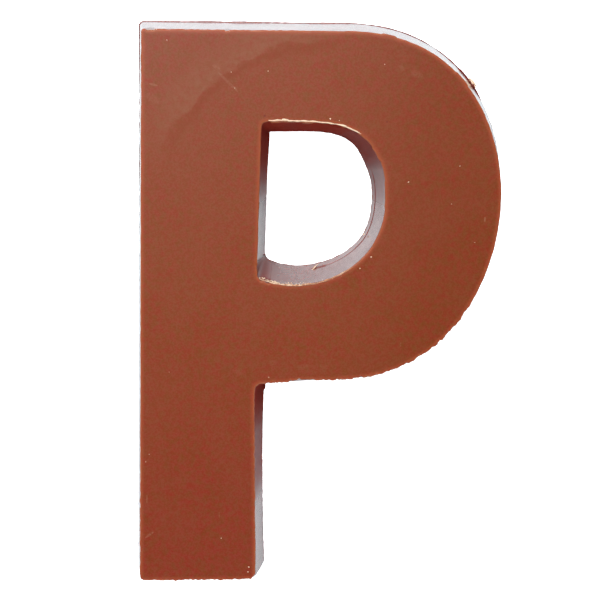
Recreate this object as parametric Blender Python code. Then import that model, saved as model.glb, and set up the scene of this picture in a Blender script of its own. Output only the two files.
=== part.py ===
"""A moulded milk chocolate letter P, lying on its poured back with the smooth moulded face up.

X runs to the letter's right, Y to its top and Z up through its thickness. Lengths are in
millimetres until the last step, which scales the mesh to metres.
The letter is one solid. Its outline is worked out at each level from the back to the face,
because the mould's draft carries the walls outwards on their way down.
"""

import math

import bmesh
import bpy
from mathutils import Vector, noise

METRES_PER_MM = 0.001

# The letter's face, measured from the left end of its foot
LETTER_HEIGHT = 127.2
LETTER_WIDTH = 81.7
THICKNESS = 16.0
FOOT_WIDTH = 27.2
STEM_WIDTH = 26.2
# The mould is a little out of square, so the edges across the letter rise to the right.
FOOT_BOTTOM = -0.3
FOOT_RISE = 0.02
CROSS_RISE = 0.0105

# The bowl swells from the end of its straight underside to its widest point, and back to the top edge.
BOWL_UNDERSIDE = 48.13
JUNCTION_DROP = 0.8
BOWL_UNDERSIDE_END = 44.2
BOWL_WIDEST_HEIGHT = 90.1
BOWL_TOP_START = 46.9
BOWL_LOWER_HANDLES = (27.9, 16.4)
BOWL_UPPER_HANDLES = (27.0, 14.7)

# The counter is the D-shaped hole in the bowl.
COUNTER_LEFT = 26.4
COUNTER_LEFT_TOP = 26.9
COUNTER_BOTTOM = 72.25
COUNTER_TOP = 107.4
COUNTER_TOP_END = 35.3
COUNTER_RIGHT = 55.4
COUNTER_WIDEST_HEIGHT = 90.5
COUNTER_UPPER_HANDLES = (7.1, 17.3)
COUNTER_LOWER_HANDLE = 18.1
COUNTER_FOOT_HANDLE = (9.9, -4.8)

# Draft: how far each wall leans out by the time it reaches the back
LEFT_DRAFT = 1.7
STEM_DRAFT = 2.3
BOWL_DRAFT = 2.4
END_DRAFT = 2.45
COUNTER_LEFT_DRAFT = 1.9
COUNTER_RIGHT_DRAFT = 1.6
COUNTER_TOP_DRAFT = 2.5
COUNTER_FOOT_DRAFT = 2.65
# The stem's right wall is hollow along its middle, towards the back.
STEM_HOLLOW = 0.35
# A curve's handles grow with the draft by this share of it.
HANDLE_SHARE = 0.55

# The rounded arris of the face
ARRIS_RADIUS = 0.5
ARRIS_TURNS = (45, 90)

# The poured back left a thin lip round its edge, which swelled in a few places: (x, y, spread, reach)
LIP_HEIGHT = 0.9
LIP_ROUND = 0.25
LIP_REACH = 0.08
LIP_SWELLS = (
    (60.0, 128.0, 14.0, 0.15),
    (78.0, 109.0, 17.0, 0.65),
    (51.6, 98.2, 5.2, 0.95),
    (53.6, 90.0, 4.0, 0.2),
    (51.5, 80.5, 3.0, -0.2),
    (43.5, 74.5, 8.0, 0.45),
    (29.0, 103.0, 5.0, 0.2),
    (28.7, 44.0, 7.0, 0.2),
)
# The wall flares out to meet the lip's swells from this height down.
FLARE_HEIGHT = 15.0
FLARE_CURVE = 1.15

# How far a rounded corner reaches along its sides, on the face and at the back
TOP_CORNER = (1.0, 1.3)
FOOT_CORNER = (1.4, 1.2)
JUNCTION_CORNER = (2.6, 0.6)
COUNTER_TOP_CORNER = (1.3, 0.5)
COUNTER_FOOT_CORNER = (1.2, 1.7)
SMOOTH = (0.0, 0.0)
CORNER_STEPS = 4

# Spacing of the outline's points, and the unevenness that casting leaves along its edges
POINT_SPACING = 1.25
LENGTH_SAMPLES = 32
NICK_SIZE = 2.2
FACE_NICK_DEPTH = 0.16
LIP_NICK_DEPTH = 0.2

SHARP_ANGLE = 30
CHOCOLATE = (0.26, 0.062, 0.03, 1.0)
CHOCOLATE_ROUGHNESS = 0.38


def clear_scene():
    for leftover in list(bpy.data.objects):
        bpy.data.objects.remove(leftover)


def collection_named(name):
    made = bpy.data.collections.new(name)
    bpy.context.scene.collection.children.link(made)
    return made


def chocolate_material():
    made = bpy.data.materials.new("milk_chocolate")
    made.use_nodes = True
    shader = made.node_tree.nodes["Principled BSDF"]
    shader.inputs["Base Color"].default_value = CHOCOLATE
    shader.inputs["Roughness"].default_value = CHOCOLATE_ROUGHNESS
    shader.inputs["Metallic"].default_value = 0.0
    return made


def letter_edges(share):
    """The letter's outer edges, anticlockwise from the foot, at this share of the way down to the back."""
    left = -LEFT_DRAFT * share
    end = END_DRAFT * share
    foot_left = Vector((left, FOOT_BOTTOM - end))
    foot_right = Vector((FOOT_WIDTH + STEM_DRAFT * share, FOOT_BOTTOM + FOOT_RISE * FOOT_WIDTH - end))
    junction = Vector((STEM_WIDTH + STEM_DRAFT * share, BOWL_UNDERSIDE - JUNCTION_DROP - end))
    stem_middle = (foot_right + junction) / 2 - Vector((2 * STEM_HOLLOW * share, 0))
    under_end = Vector((BOWL_UNDERSIDE_END, BOWL_UNDERSIDE + CROSS_RISE * BOWL_UNDERSIDE_END - end))
    widest = Vector((LETTER_WIDTH + BOWL_DRAFT * share, BOWL_WIDEST_HEIGHT))
    top_start = Vector((BOWL_TOP_START, LETTER_HEIGHT + CROSS_RISE * BOWL_TOP_START + end))
    top_left = Vector((left, LETTER_HEIGHT + end))
    more_along = HANDLE_SHARE * BOWL_DRAFT * share
    more_across = HANDLE_SHARE * end
    lower_bowl = (
        under_end,
        under_end + Vector((BOWL_LOWER_HANDLES[0] + more_along, 0)),
        widest - Vector((0, BOWL_LOWER_HANDLES[1] + more_across)),
        widest,
    )
    upper_bowl = (
        widest,
        widest + Vector((0, BOWL_UPPER_HANDLES[1] + more_across)),
        top_start + Vector((BOWL_UPPER_HANDLES[0] + more_along, 0)),
        top_start,
    )
    return [
        (foot_left, foot_right),
        (foot_right, stem_middle, junction),
        (junction, under_end),
        lower_bowl,
        upper_bowl,
        (top_start, top_left),
        (top_left, foot_left),
    ]


def counter_edges(share):
    """The counter's edges, clockwise from its lower left, at this share of the way down to the back."""
    left = COUNTER_LEFT_DRAFT * share
    top = COUNTER_TOP - COUNTER_TOP_DRAFT * share
    foot = Vector((COUNTER_LEFT + left, COUNTER_BOTTOM + COUNTER_FOOT_DRAFT * share))
    top_left = Vector((COUNTER_LEFT_TOP + left, top))
    top_end = Vector((COUNTER_TOP_END, top))
    widest = Vector((COUNTER_RIGHT - COUNTER_RIGHT_DRAFT * share, COUNTER_WIDEST_HEIGHT))
    less_along = HANDLE_SHARE * COUNTER_RIGHT_DRAFT * share
    upper = (
        top_end,
        top_end + Vector((COUNTER_UPPER_HANDLES[0] - less_along, 0)),
        widest + Vector((0, COUNTER_UPPER_HANDLES[1] - HANDLE_SHARE * COUNTER_TOP_DRAFT * share)),
        widest,
    )
    lower = (
        widest,
        widest - Vector((0, COUNTER_LOWER_HANDLE - HANDLE_SHARE * COUNTER_FOOT_DRAFT * share)),
        foot + Vector(COUNTER_FOOT_HANDLE),
        foot,
    )
    return [(foot, top_left), (top_left, top_end), upper, lower]


# Each outline with the corner that ends each of its edges
OUTLINES = (
    (
        letter_edges,
        (FOOT_CORNER, JUNCTION_CORNER, SMOOTH, SMOOTH, SMOOTH, TOP_CORNER, FOOT_CORNER),
    ),
    (counter_edges, (COUNTER_TOP_CORNER, SMOOTH, SMOOTH, COUNTER_FOOT_CORNER)),
)


def point_on(controls, share):
    """The point at this share of a straight edge, with two controls, or of a curved one, with more."""
    while len(controls) > 1:
        controls = [a.lerp(b, share) for a, b in zip(controls, controls[1:])]
    return controls[0]


def edge_steps(controls):
    path = [point_on(controls, i / LENGTH_SAMPLES) for i in range(LENGTH_SAMPLES + 1)]
    length = sum((b - a).length for a, b in zip(path, path[1:]))
    return max(2, round(length / POINT_SPACING))


def edge_points(controls, steps, trim_start, trim_end):
    """Points along an edge, less what the rounded corners at its ends take."""
    order = len(controls) - 1
    start = trim_start / (order * (controls[1] - controls[0]).length)
    end = 1 - trim_end / (order * (controls[-1] - controls[-2]).length)
    return [point_on(controls, start + (end - start) * i / steps) for i in range(steps + 1)]


def outline_points(edges_at, corners, share):
    """One closed outline, as points along its edges and round its corners."""
    edges = edges_at(share)
    reaches = [face + (back - face) * share for face, back in corners]
    runs = [
        edge_points(controls, edge_steps(face_controls), reaches[i - 1], reaches[i])
        for i, (controls, face_controls) in enumerate(zip(edges, edges_at(0)))
    ]
    points = []
    for i, run in enumerate(runs):
        if reaches[i] == 0:
            points += run[:-1]
            continue
        next_start = runs[(i + 1) % len(runs)][0]
        bend = (run[-1], edges[i][-1], next_start)
        points += run + [point_on(bend, step / CORNER_STEPS) for step in range(1, CORNER_STEPS)]
    return points


def lip_swell(point):
    """How far the lip swells near this point of the back's outline."""
    reach = 0.0
    for x, y, spread, swell in LIP_SWELLS:
        away = (point - Vector((x, y))).length / spread
        reach += swell * math.exp(-away * away)
    return reach


def moved_inwards(points, height, inset, lip, nick_depth):
    """The outline moved into the chocolate by the inset, out by the lip, and unevenly by the nicks."""
    flare = (1 - min(height / FLARE_HEIGHT, 1.0)) ** FLARE_CURVE
    moved = []
    for before, point, after in zip(points[-1:] + points[:-1], points, points[1:] + points[:1]):
        along = (after - before).normalized()
        inward = Vector((-along.y, along.x))
        swing = noise.noise(Vector((point.x, point.y, height)) / NICK_SIZE)
        moved.append(point + inward * (inset - lip - flare * lip_swell(point) + nick_depth * swing))
    return moved


def section_levels():
    """(height, inset, reach of the lip, nick depth) of each level, from the back up to the face."""
    wall_top = THICKNESS - ARRIS_RADIUS
    levels = [
        (0.0, LIP_ROUND, LIP_REACH, LIP_NICK_DEPTH),
        (LIP_ROUND, 0.0, LIP_REACH, LIP_NICK_DEPTH),
        (LIP_HEIGHT, 0.0, LIP_REACH, LIP_NICK_DEPTH),
        (LIP_HEIGHT * 2, 0.0, 0.0, 0.0),
        (wall_top, 0.0, 0.0, FACE_NICK_DEPTH / 2),
    ]
    for turn in ARRIS_TURNS:
        rise = ARRIS_RADIUS * math.sin(math.radians(turn))
        inset = ARRIS_RADIUS * (1 - math.cos(math.radians(turn)))
        levels.append((wall_top + rise, inset, 0.0, FACE_NICK_DEPTH))
    return levels


def add_ring(mesh, points, height):
    """A closed ring of edges at one level."""
    verts = [mesh.verts.new((point.x, point.y, height)) for point in points]
    return [mesh.edges.new(pair) for pair in zip(verts, verts[1:] + verts[:1])]


def wall_rings(mesh, edges_at, corners):
    """Builds one outline's wall, level by level. It returns the rings at the back and at the face."""
    rings = []
    for height, inset, lip, nick_depth in section_levels():
        points = outline_points(edges_at, corners, 1 - height / THICKNESS)
        points = moved_inwards(points, height, inset, lip, nick_depth)
        rings.append(add_ring(mesh, points, height))
        if len(rings) > 1:
            bmesh.ops.bridge_loops(mesh, edges=rings[-2] + rings[-1])
    return rings[0], rings[-1]


def letter_mesh():
    """The walls of the letter and its counter, closed by the poured back and the moulded face."""
    mesh = bmesh.new()
    ends = [wall_rings(mesh, edges_at, corners) for edges_at, corners in OUTLINES]
    for back_or_face in zip(*ends):
        edges = [edge for ring in back_or_face for edge in ring]
        bmesh.ops.triangle_fill(mesh, edges=edges, use_beauty=True)
    bmesh.ops.recalc_face_normals(mesh, faces=mesh.faces)
    return mesh


def place_on_origin(mesh):
    """Puts the origin under the middle of the letter's box, and scales it to metres."""
    low = Vector(min(vert.co[axis] for vert in mesh.verts) for axis in range(3))
    high = Vector(max(vert.co[axis] for vert in mesh.verts) for axis in range(3))
    middle = (low + high) / 2
    bmesh.ops.translate(mesh, verts=mesh.verts, vec=(-middle.x, -middle.y, -low.z))
    bmesh.ops.scale(mesh, verts=mesh.verts, vec=(METRES_PER_MM,) * 3)


def main():
    clear_scene()
    collection = collection_named("chocolate_letter")
    mesh = letter_mesh()
    place_on_origin(mesh)
    data = bpy.data.meshes.new("letter")
    mesh.to_mesh(data)
    mesh.free()
    data.materials.append(chocolate_material())
    data.shade_smooth()
    data.set_sharp_from_angle(angle=math.radians(SHARP_ANGLE))
    collection.objects.link(bpy.data.objects.new("letter", data))


main()
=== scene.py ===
import math
import random

import bmesh
import bpy
from mathutils import Euler, Matrix, Vector, geometry, noise


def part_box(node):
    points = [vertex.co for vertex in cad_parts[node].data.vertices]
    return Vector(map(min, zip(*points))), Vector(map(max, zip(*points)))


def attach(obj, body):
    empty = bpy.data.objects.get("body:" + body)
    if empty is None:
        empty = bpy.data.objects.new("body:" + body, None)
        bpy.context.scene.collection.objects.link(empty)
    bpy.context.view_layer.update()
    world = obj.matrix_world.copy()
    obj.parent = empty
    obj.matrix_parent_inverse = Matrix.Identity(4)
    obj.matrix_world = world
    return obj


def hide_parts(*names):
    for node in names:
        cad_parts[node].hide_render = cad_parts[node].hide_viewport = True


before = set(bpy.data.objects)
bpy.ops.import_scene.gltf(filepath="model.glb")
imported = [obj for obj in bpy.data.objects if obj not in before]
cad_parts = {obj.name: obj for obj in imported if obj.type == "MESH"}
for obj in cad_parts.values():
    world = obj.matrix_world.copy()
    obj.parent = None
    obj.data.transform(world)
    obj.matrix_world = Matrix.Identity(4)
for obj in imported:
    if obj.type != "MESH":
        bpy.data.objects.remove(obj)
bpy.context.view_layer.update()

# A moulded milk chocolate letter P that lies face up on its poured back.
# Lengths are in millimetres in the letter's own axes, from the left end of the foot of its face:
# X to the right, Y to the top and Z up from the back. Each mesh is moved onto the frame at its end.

METRES_PER_MM = 0.001
# The back's lip stands this far outside the left end of the foot of the face.
LIP_LEFT = 1.871
LIP_FOOT = 2.784

# The letter's face
LETTER_HEIGHT = 127.2
LETTER_WIDTH = 81.7
THICKNESS = 16.0
FOOT_WIDTH = 27.2
STEM_WIDTH = 26.2
FOOT_BOTTOM = -0.3
FOOT_RISE = 0.02
CROSS_RISE = 0.0105

# The bowl
BOWL_UNDERSIDE = 48.13
JUNCTION_DROP = 0.8
BOWL_UNDERSIDE_END = 44.2
BOWL_WIDEST_HEIGHT = 90.1
BOWL_TOP_START = 46.9
BOWL_LOWER_HANDLES = (27.9, 16.4)
BOWL_UPPER_HANDLES = (27.0, 14.7)

# The counter, the D-shaped hole in the bowl
COUNTER_LEFT = 26.4
COUNTER_LEFT_TOP = 26.9
COUNTER_BOTTOM = 72.25
COUNTER_TOP = 107.4
COUNTER_TOP_END = 35.3
COUNTER_RIGHT = 55.4
COUNTER_WIDEST_HEIGHT = 90.5
COUNTER_UPPER_HANDLES = (7.1, 17.3)
COUNTER_LOWER_HANDLE = 18.1
COUNTER_FOOT_HANDLE = (9.9, -4.8)

# Draft: how far each wall leans out by the time it reaches the back
LEFT_DRAFT = 1.7
STEM_DRAFT = 2.3
BOWL_DRAFT = 2.4
END_DRAFT = 2.45
COUNTER_LEFT_DRAFT = 1.9
COUNTER_RIGHT_DRAFT = 1.6
COUNTER_TOP_DRAFT = 2.5
COUNTER_FOOT_DRAFT = 2.65
STEM_HOLLOW = 0.35
HANDLE_SHARE = 0.55

# How far a rounded corner reaches along its sides, on the face and at the back
TOP_CORNER = (0.8, 1.3)
FOOT_CORNER = (1.5, 2.2)
JUNCTION_CORNER = (1.9, 0.6)
COUNTER_TOP_CORNER = (1.3, 0.5)
COUNTER_FOOT_CORNER = (1.0, 1.7)
SMOOTH = (0.0, 0.0)
CORNER_STEPS = 8
CORNER_CURVE = 3
# A corner reaches at least this many insets, so that its ring doesn't cross itself.
CORNER_SPARE = 1.2

# The face's arris, and the slight crown between it and the flat of the face
ARRIS_RADIUS = 0.3
ARRIS_TURNS = (15, 30, 45, 60, 75, 88)
CROWN_WIDTH = 1.0
CROWN_DROP = 0.02
CROWN_RINGS = 4
WALL_TOP = THICKNESS - CROWN_DROP - ARRIS_RADIUS

# The lip round the poured back: a thin ledge at the foot of a wall that flares a little
LIP_HEIGHT = 0.5
LIP_ROUND = 0.2
LIP_BEVEL = 0.06
LIP_REACH = 0.08
LIP_LEDGE = 0.02
LEDGE_DROP = 0.06
LEDGE_RAGGED = 1.1
LEDGE_RAGGED_SIZE = 5.5
LEDGE_LEAST = 0.1
LEDGE_MOST = 1.4
# Where the ledge is wide enough to see from the face's side: (x, y, spread, width)
LIP_LEDGES = (
    (16.0, 131.0, 22.0, 0.22),
    (42.0, 131.0, 12.0, 0.16),
    (58.0, 129.0, 10.0, 0.12),
    (74.0, 120.0, 8.5, 0.13),
    (-2.0, 122.0, 5.0, 0.12),
    (-2.0, 100.0, 14.0, 0.08),
)
# Where the lip stands further out or in: (x, y, spread, reach)
LIP_SWELLS = (
    (60.0, 128.0, 14.0, 0.15),
    (78.0, 109.0, 17.0, 0.65),
    (51.6, 98.2, 5.2, 0.95),
    (53.6, 90.0, 4.0, 0.2),
    (51.5, 80.5, 3.0, -0.2),
    (43.5, 74.5, 8.0, 0.45),
    (29.0, 103.0, 5.0, 0.2),
    (28.7, 44.0, 7.0, 0.2),
)
# Where the lip broke off short or stands out with a sharp end: (x, y, half its length, reach)
LIP_TONGUES = (
    (28.7, 45.0, 2.6, 0.35),
    (28.6, 25.8, 0.6, -0.2),
    (76.2, 117.2, 5.0, 0.14),
)
# A swell of the lip flares the wall above it, up to this height.
FLARE_HEIGHT = 15.0
FLARE_CURVE = 1.15
# A tide line runs along the counter's wall, where the mould's edge ended.
TIDE_HEIGHT = 3.9
TIDE_LEDGE = 0.1
TIDE_STEP = 0.03
TIDE_LEFT_END = 39.0
TIDE_TOP_END = 97.0
TIDE_FADE = 4.0

# Chips out of the face's arris, and burrs where the depth is below zero: (x, y, half its length, depth)
FACE_CHIPS = (
    (2.0, 127.0, 1.1, 0.28),
    (19.0, 127.3, 0.6, 0.2),
    (35.6, 48.2, 1.5, 0.3),
    (38.2, 48.3, 2.2, 0.34),
    (43.8, 48.6, 1.6, -0.22),
    (55.2, 127.7, 2.0, -0.22),
    (72.2, 118.3, 2.4, -0.2),
    (37.2, 107.4, 1.4, -0.2),
    (30.0, 107.3, 1.1, -0.2),
    (43.4, 107.0, 1.8, 0.26),
    (47.2, 105.9, 1.8, 0.26),
    (53.2, 101.0, 2.0, -0.22),
    (55.3, 91.5, 3.5, -0.2),
    (28.2, 71.2, 1.5, 0.4),
    (63.8, 54.4, 0.7, 0.24),
    (68.6, 58.0, 0.7, 0.2),
    (71.7, 61.4, 0.6, 0.16),
    (74.2, 64.7, 0.7, 0.2),
    (27.1, 0.6, 0.9, 0.35),
    (26.3, 30.2, 0.7, 0.14),
)

# Where the face's arris is ragged: (x, y, spread, depth)
RAGGED_PLACES = (
    (54.0, 50.0, 12.0, 0.45),
    (70.0, 60.0, 9.0, 0.3),
    (32.0, 48.0, 7.0, 0.3),
    (14.0, 0.0, 13.0, 0.3),
    (26.0, 72.0, 4.0, 0.3),
    (0.0, 12.0, 14.0, 0.12),
    (27.0, 25.0, 24.0, 0.12),
    (20.0, 127.0, 24.0, 0.12),
)
RAGGED_SIZE = 0.75

# Spacing of the outline's points, and the unevenness that casting left
POINT_SPACING = 0.3
LENGTH_SAMPLES = 64
WALL_LEVELS = (1.0, 1.5, 2.1, 2.8, 3.4, 5.0, 6.2, 7.6, 9.0, 10.4, 11.8, 13.0, 14.0, 14.8, 15.3)
FACE_NICK_SIZE = 1.9
FACE_NICK_DEPTH = 0.08
NICKS_START = 13.5
NICKS_GROW = 2.0
FLAT_STEEPNESS = 4
WALL_WAVE_SIZE = 9.0
WALL_WAVE_DEPTH = 0.05
LIP_NICK_SIZE = 1.1
LIP_NICK_DEPTH = 0.07
# Each kind of unevenness reads the noise at a level of its own.
LIP_LEVEL = 0.0
RAGGED_LEVEL = 20.0
LEDGE_LEVEL = 40.0
FINE_RAGGED_LEVEL = 50.0
FACE_NICK_LEVEL = 70.0
BURR_SWAY_LEVEL = 30.0
BURR_TONE_LEVEL = 50.0
BURR_LUMP_LEVEL = 90.0
# The walls are polished, but for these duller places: (x, y, spread across, spread along, how dull)
# Their deeper red base is partly painted shade, where these walls mirror shaded floor.
DULL_PLACES = (
    (27.0, 105.0, 15.3, 14.8, 1.0),
    (40.0, 107.0, 12.0, 12.0, 1.0),
    (49.5, 104.0, 9.0, 9.0, 0.86),
    (55.0, 96.0, 9.0, 9.0, 0.38),
    (56.0, 88.0, 12.0, 12.0, 0.2),
    (27.0, 73.0, 3.0, 3.0, 0.5),
    (28.0, 47.0, 5.0, 16.0, 1.0),
    (28.0, 32.0, 4.0, 13.5, 0.7),
    (28.0, 8.0, 4.0, 20.0, 0.12),
)


# The letter's outline, the same as its solid's but for how far some corners reach

def letter_edges(share):
    """The letter's outer edges, anticlockwise from the foot, at this share of the way down to the back."""
    left = -LEFT_DRAFT * share
    end = END_DRAFT * share
    foot_left = Vector((left, FOOT_BOTTOM - end))
    foot_right = Vector((FOOT_WIDTH + STEM_DRAFT * share, FOOT_BOTTOM + FOOT_RISE * FOOT_WIDTH - end))
    junction = Vector((STEM_WIDTH + STEM_DRAFT * share, BOWL_UNDERSIDE - JUNCTION_DROP - end))
    stem_middle = (foot_right + junction) / 2 - Vector((2 * STEM_HOLLOW * share, 0))
    under_end = Vector((BOWL_UNDERSIDE_END, BOWL_UNDERSIDE + CROSS_RISE * BOWL_UNDERSIDE_END - end))
    widest = Vector((LETTER_WIDTH + BOWL_DRAFT * share, BOWL_WIDEST_HEIGHT))
    top_start = Vector((BOWL_TOP_START, LETTER_HEIGHT + CROSS_RISE * BOWL_TOP_START + end))
    top_left = Vector((left, LETTER_HEIGHT + end))
    more_along = HANDLE_SHARE * BOWL_DRAFT * share
    more_across = HANDLE_SHARE * end
    lower_bowl = (
        under_end,
        under_end + Vector((BOWL_LOWER_HANDLES[0] + more_along, 0)),
        widest - Vector((0, BOWL_LOWER_HANDLES[1] + more_across)),
        widest,
    )
    upper_bowl = (
        widest,
        widest + Vector((0, BOWL_UPPER_HANDLES[1] + more_across)),
        top_start + Vector((BOWL_UPPER_HANDLES[0] + more_along, 0)),
        top_start,
    )
    return [
        (foot_left, foot_right),
        (foot_right, stem_middle, junction),
        (junction, under_end),
        lower_bowl,
        upper_bowl,
        (top_start, top_left),
        (top_left, foot_left),
    ]


def counter_edges(share):
    """The counter's edges, clockwise from its lower left, at this share of the way down to the back."""
    left = COUNTER_LEFT_DRAFT * share
    top = COUNTER_TOP - COUNTER_TOP_DRAFT * share
    foot = Vector((COUNTER_LEFT + left, COUNTER_BOTTOM + COUNTER_FOOT_DRAFT * share))
    top_left = Vector((COUNTER_LEFT_TOP + left, top))
    top_end = Vector((COUNTER_TOP_END, top))
    widest = Vector((COUNTER_RIGHT - COUNTER_RIGHT_DRAFT * share, COUNTER_WIDEST_HEIGHT))
    less_along = HANDLE_SHARE * COUNTER_RIGHT_DRAFT * share
    upper = (
        top_end,
        top_end + Vector((COUNTER_UPPER_HANDLES[0] - less_along, 0)),
        widest + Vector((0, COUNTER_UPPER_HANDLES[1] - HANDLE_SHARE * COUNTER_TOP_DRAFT * share)),
        widest,
    )
    lower = (
        widest,
        widest - Vector((0, COUNTER_LOWER_HANDLE - HANDLE_SHARE * COUNTER_FOOT_DRAFT * share)),
        foot + Vector(COUNTER_FOOT_HANDLE),
        foot,
    )
    return [(foot, top_left), (top_left, top_end), upper, lower]


# Each outline with the corner that ends each of its edges
OUTLINES = (
    (
        letter_edges,
        (FOOT_CORNER, JUNCTION_CORNER, SMOOTH, SMOOTH, SMOOTH, TOP_CORNER, FOOT_CORNER),
    ),
    (counter_edges, (COUNTER_TOP_CORNER, SMOOTH, SMOOTH, COUNTER_FOOT_CORNER)),
)


def point_on(controls, share):
    """The point at this share of a straight edge, with two controls, or of a curved one, with more."""
    while len(controls) > 1:
        controls = [a.lerp(b, share) for a, b in zip(controls, controls[1:])]
    return controls[0]


def edge_steps(controls):
    path = [point_on(controls, i / LENGTH_SAMPLES) for i in range(LENGTH_SAMPLES + 1)]
    length = sum((b - a).length for a, b in zip(path, path[1:]))
    return max(2, round(length / POINT_SPACING))


def inward_normal(along):
    return Vector((-along.y, along.x)).normalized()


def edge_points(controls, steps, trim_start, trim_end, inset):
    """Points along an edge, less what the rounded corners take, moved into the chocolate by the inset."""
    order = len(controls) - 1
    start = trim_start / (order * (controls[1] - controls[0]).length)
    end = 1 - trim_end / (order * (controls[-1] - controls[-2]).length)
    shares = [start + (end - start) * i / steps for i in range(steps + 1)]
    points = [point_on(controls, share) for share in shares]
    first = inward_normal(points[1] - points[0])
    last = inward_normal(points[-1] - points[-2])
    between = [inward_normal(after - before) for before, after in zip(points, points[2:])]
    return [point + normal * inset for point, normal in zip(points, [first] + between + [last])]


def outline_points(edges_at, corners, share, inset=0.0):
    """One closed outline, as points along its edges and round its corners."""
    edges = edges_at(share)
    reaches = [face + (back - face) * share ** CORNER_CURVE for face, back in corners]
    reaches = [max(reach, inset * CORNER_SPARE) if reach else 0.0 for reach in reaches]
    runs = [
        edge_points(controls, edge_steps(face_controls), reaches[i - 1], reaches[i], inset)
        for i, (controls, face_controls) in enumerate(zip(edges, edges_at(0)))
    ]
    points = []
    for i, run in enumerate(runs):
        if reaches[i] == 0:
            points += run[:-1]
            continue
        following = runs[(i + 1) % len(runs)]
        bend = corner_bend(run[-2], run[-1], following[0], following[1])
        points += run + [point_on(bend, step / CORNER_STEPS) for step in range(1, CORNER_STEPS)]
    return points


def corner_bend(before, end, start, after):
    """The controls of a rounded corner, whose middle one is where the two sides would meet."""
    meeting = geometry.intersect_line_line(before.to_3d(), end.to_3d(), start.to_3d(), after.to_3d())
    return (end, meeting[0].to_2d(), start)


# Unevenness

def within(value, low=0.0, high=1.0):
    """The value, kept between these limits."""
    return min(max(value, low), high)


def spreads_away(point, x, y, spread):
    """How far the point is from this place, as a share of the spread."""
    return (point - Vector((x, y))).length / spread


def flat_topped(away):
    """1 near the middle, falling quickly to 0 where away is 1."""
    fall = within((1 - away) * FLAT_STEEPNESS)
    return fall * fall * (3 - 2 * fall)


def broad(away):
    """1 over most of the spread, falling softly past it."""
    return math.exp(-away ** 4)


def lip_reach(point):
    """How far the lip stands out near this point of the back's outline."""
    reach = LIP_REACH
    for x, y, spread, swell in LIP_SWELLS:
        reach += swell * math.exp(-spreads_away(point, x, y, spread) ** 2)
    return reach


def ledge_width(point):
    """How wide the lip's ragged ledge is near this point."""
    width = LIP_LEDGE
    for x, y, spread, widest in LIP_LEDGES:
        width = max(width, widest * broad(spreads_away(point, x, y, spread)))
    ragged = 1 + LEDGE_RAGGED * uneven(point, LEDGE_LEVEL, LEDGE_RAGGED_SIZE)
    return width * within(ragged, LEDGE_LEAST, LEDGE_MOST)


def tongue_reach(point):
    return sum(reach * flat_topped(spreads_away(point, x, y, half)) for x, y, half, reach in LIP_TONGUES)


def chip_depth(point):
    return sum(depth * flat_topped(spreads_away(point, x, y, half)) for x, y, half, depth in FACE_CHIPS)


def raggedness(point):
    """Small nicks, deeper where the arris is ragged."""
    depth = 0.0
    for x, y, spread, deepest in RAGGED_PLACES:
        depth = max(depth, deepest * broad(spreads_away(point, x, y, spread)))
    coarse = uneven(point, RAGGED_LEVEL, RAGGED_SIZE)
    fine = uneven(point, FINE_RAGGED_LEVEL, RAGGED_SIZE / 2)
    return depth * (coarse + fine / 2)


def tide_reach(point, is_counter):
    """The tide line's ledge, which fades out at both ends of its run along the counter."""
    if not is_counter:
        return 0.0
    from_left = within((point.x - TIDE_LEFT_END) / TIDE_FADE)
    from_top = within((TIDE_TOP_END - point.y) / TIDE_FADE)
    return TIDE_LEDGE * from_left * from_top


def uneven(point, level, size):
    """Noise of this size, about -1 to 1, the same each run."""
    return noise.noise(Vector((point.x, point.y, level)) / size)


def polish(point):
    """How polished the wall is near this point."""
    dull = 0.0
    for x, y, across, along, most in DULL_PLACES:
        away = Vector(((point.x - x) / across, (point.y - y) / along)).length
        dull = max(dull, most * broad(away))
    return 1 - dull


def wall_outset(point, height, is_counter):
    """How far the wall stands outside its plain draft at this point and height."""
    rise = 1 - min(height / FLARE_HEIGHT, 1.0)
    outset = (lip_reach(point) - LIP_REACH) * rise ** FLARE_CURVE
    tide = tide_reach(point, is_counter)
    outset -= tide * (1 - height / THICKNESS)
    if height < TIDE_HEIGHT:
        outset += tide
    if height <= LIP_HEIGHT:
        outset += ledge_width(point) + tongue_reach(point)
        outset += LIP_NICK_DEPTH * uneven(point, LIP_LEVEL, LIP_NICK_SIZE)
    outset += WALL_WAVE_DEPTH * uneven(point, height, WALL_WAVE_SIZE)
    return outset


# The solid's walls, from the back up to the face

def wall_sections():
    """(height, inset) of each level from the back to the flat of the face."""
    sections = [(0.0, LIP_ROUND), (LIP_BEVEL, LIP_BEVEL), (LIP_ROUND, 0.0), (LIP_HEIGHT, 0.0)]
    sections.append((LIP_HEIGHT + LEDGE_DROP, 0.0))
    sections += [(height, 0.0) for height in WALL_LEVELS if height < TIDE_HEIGHT]
    sections += [(TIDE_HEIGHT - TIDE_STEP, 0.0), (TIDE_HEIGHT + TIDE_STEP, 0.0)]
    sections += [(height, 0.0) for height in WALL_LEVELS if height > TIDE_HEIGHT]
    for turn in (0,) + ARRIS_TURNS:
        angle = math.radians(turn)
        sections.append((WALL_TOP + ARRIS_RADIUS * math.sin(angle), ARRIS_RADIUS * (1 - math.cos(angle))))
    for ring in range(1, CROWN_RINGS + 1):
        share = ring / CROWN_RINGS
        height = THICKNESS - CROWN_DROP * (1 - share) ** 2
        sections.append((height, ARRIS_RADIUS + CROWN_WIDTH * share))
    return sections


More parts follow.
